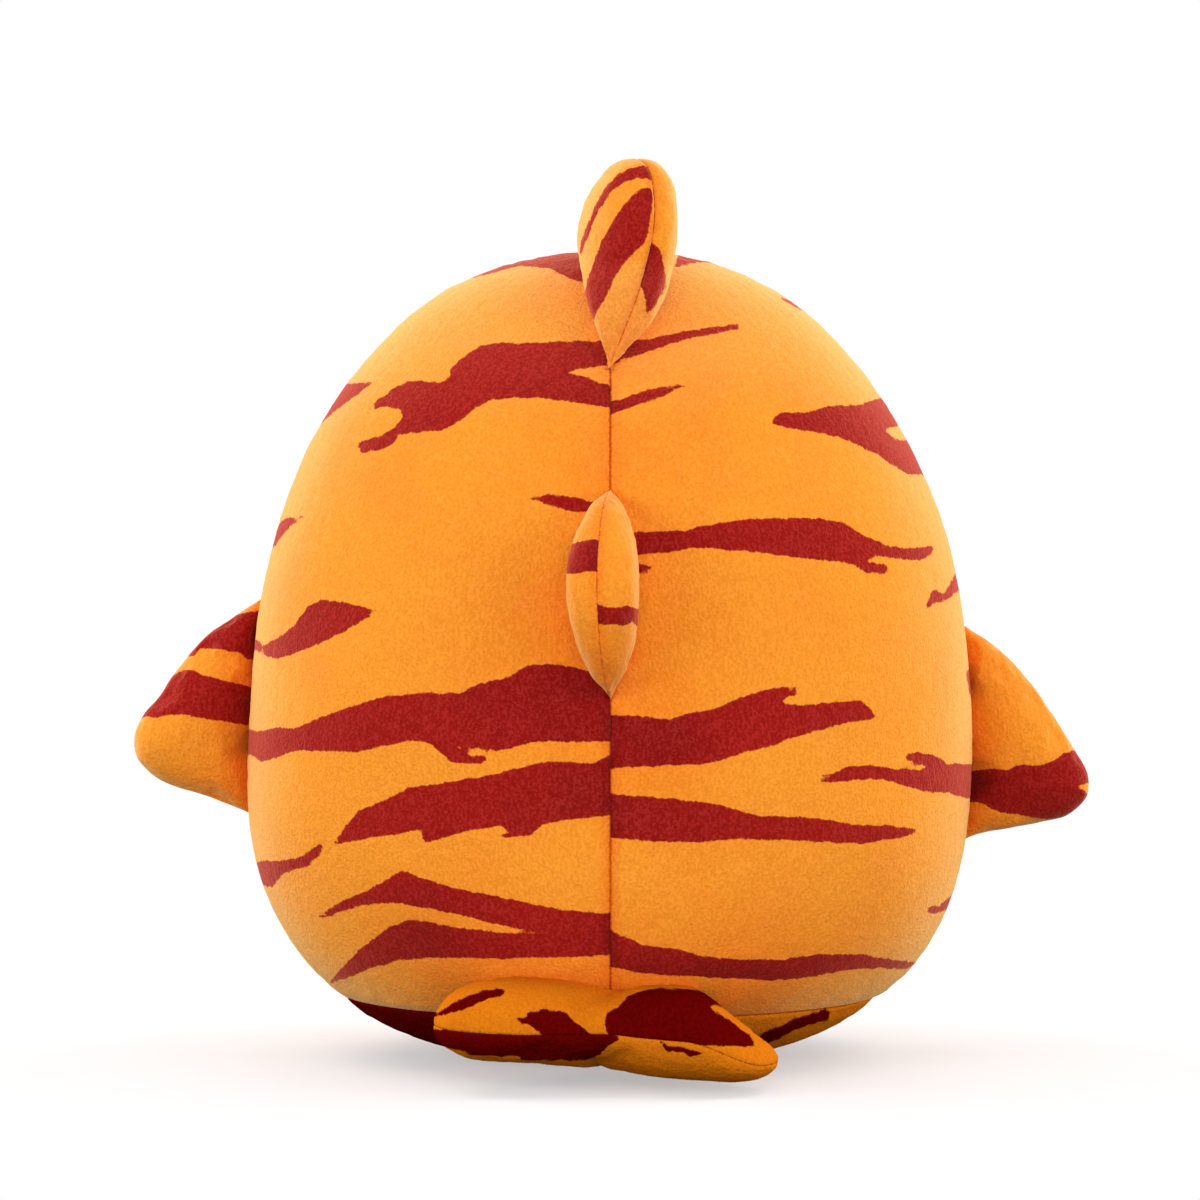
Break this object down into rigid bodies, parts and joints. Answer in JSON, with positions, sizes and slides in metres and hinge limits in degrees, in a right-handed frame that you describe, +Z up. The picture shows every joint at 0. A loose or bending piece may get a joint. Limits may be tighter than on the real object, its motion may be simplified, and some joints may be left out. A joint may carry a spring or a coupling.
{
  "type": "plush shark",
  "caption": "Egg-shaped sitting plush shark in orange short-pile fabric with dark red tiger stripes, stuffed dorsal, pectoral and tail fins that bend at their root seams.",
  "frame": {"origin": "centre of the flat face that the toy sits on", "axes": "+Z up; +Y forward, out of the face; +X to the toy's right, which is the right of the picture"},
  "size_m": [0.3836, 0.278, 0.3595],
  "materials": {
    "tiger_plush": "short-pile plush, orange with dark red tiger stripes",
    "cream_plush": "short-pile plush, cream",
    "stuffing": "loose polyester fibre",
    "amber_thread": "satin-stitch embroidery",
    "black_thread": "satin-stitch embroidery",
    "maroon_thread": "satin-stitch embroidery",
    "white_felt": "felt"
  },
  "bodies": {
    "body": {"body_back_panel_left": "tiger_plush", "body_back_panel_right": "tiger_plush", "face_panel": "tiger_plush", "base_panel": "tiger_plush", "belly_panel": "cream_plush", "body_stuffing": "stuffing", "left_eye_iris": "amber_thread", "right_eye_iris": "amber_thread", "left_eye_pupil": "black_thread", "right_eye_pupil": "black_thread", "mouth_line": "maroon_thread", "felt_teeth": "white_felt", "left_gill_slit_1": "maroon_thread", "left_gill_slit_2": "maroon_thread", "left_gill_slit_3": "maroon_thread", "right_gill_slit_1": "maroon_thread", "right_gill_slit_2": "maroon_thread", "right_gill_slit_3": "maroon_thread"},
    "dorsal_fin": {"dorsal_fin_left_panel": "tiger_plush", "dorsal_fin_right_panel": "tiger_plush", "dorsal_fin_stuffing": "stuffing"},
    "rear_dorsal_fin": {"rear_dorsal_fin_left_panel": "tiger_plush", "rear_dorsal_fin_right_panel": "tiger_plush", "rear_dorsal_fin_stuffing": "stuffing"},
    "left_pectoral_fin": {"left_pectoral_fin_back_panel": "tiger_plush", "left_pectoral_fin_front_panel": "tiger_plush", "left_pectoral_fin_stuffing": "stuffing"},
    "right_pectoral_fin": {"right_pectoral_fin_back_panel": "tiger_plush", "right_pectoral_fin_front_panel": "tiger_plush", "right_pectoral_fin_stuffing": "stuffing"},
    "tail_fin": {"tail_fin_upper_panel": "tiger_plush", "tail_fin_lower_panel": "tiger_plush", "tail_fin_stuffing": "stuffing"}
  },
  "joints": [
    {"name": "dorsal_fin_sway", "type": "hinge", "parent": "body", "child": "dorsal_fin", "pos_m": [0, -0.0496, 0.3104], "axis": [0, 0.8699, 0.4932], "range_deg": [-30, 17], "stiffness_Nm_per_rad": 0.08},
    {"name": "rear_dorsal_fin_sway", "type": "hinge", "parent": "body", "child": "rear_dorsal_fin", "pos_m": [0, -0.1195, 0.1915], "axis": [0, 0.1903, 0.9817], "range_deg": [-24, 32], "stiffness_Nm_per_rad": 0.04},
    {"name": "left_pectoral_fin_flap", "type": "hinge", "parent": "body", "child": "left_pectoral_fin", "pos_m": [-0.1438, 0.0138, 0.139], "axis": [0.0456, -0.0044, 0.9989], "range_deg": [-35, 35], "stiffness_Nm_per_rad": 0.05},
    {"name": "right_pectoral_fin_flap", "type": "hinge", "parent": "body", "child": "right_pectoral_fin", "pos_m": [0.144, 0.0139, 0.1285], "axis": [-0.0149, -0.0014, 0.9999], "range_deg": [-35, 35], "stiffness_Nm_per_rad": 0.05},
    {"name": "tail_fin_flex", "type": "hinge", "parent": "body", "child": "tail_fin", "pos_m": [0, -0.094, 0.021], "axis": [0.999, 0, -0.0436], "range_deg": [-3, 30], "stiffness_Nm_per_rad": 0.1}
  ]
}
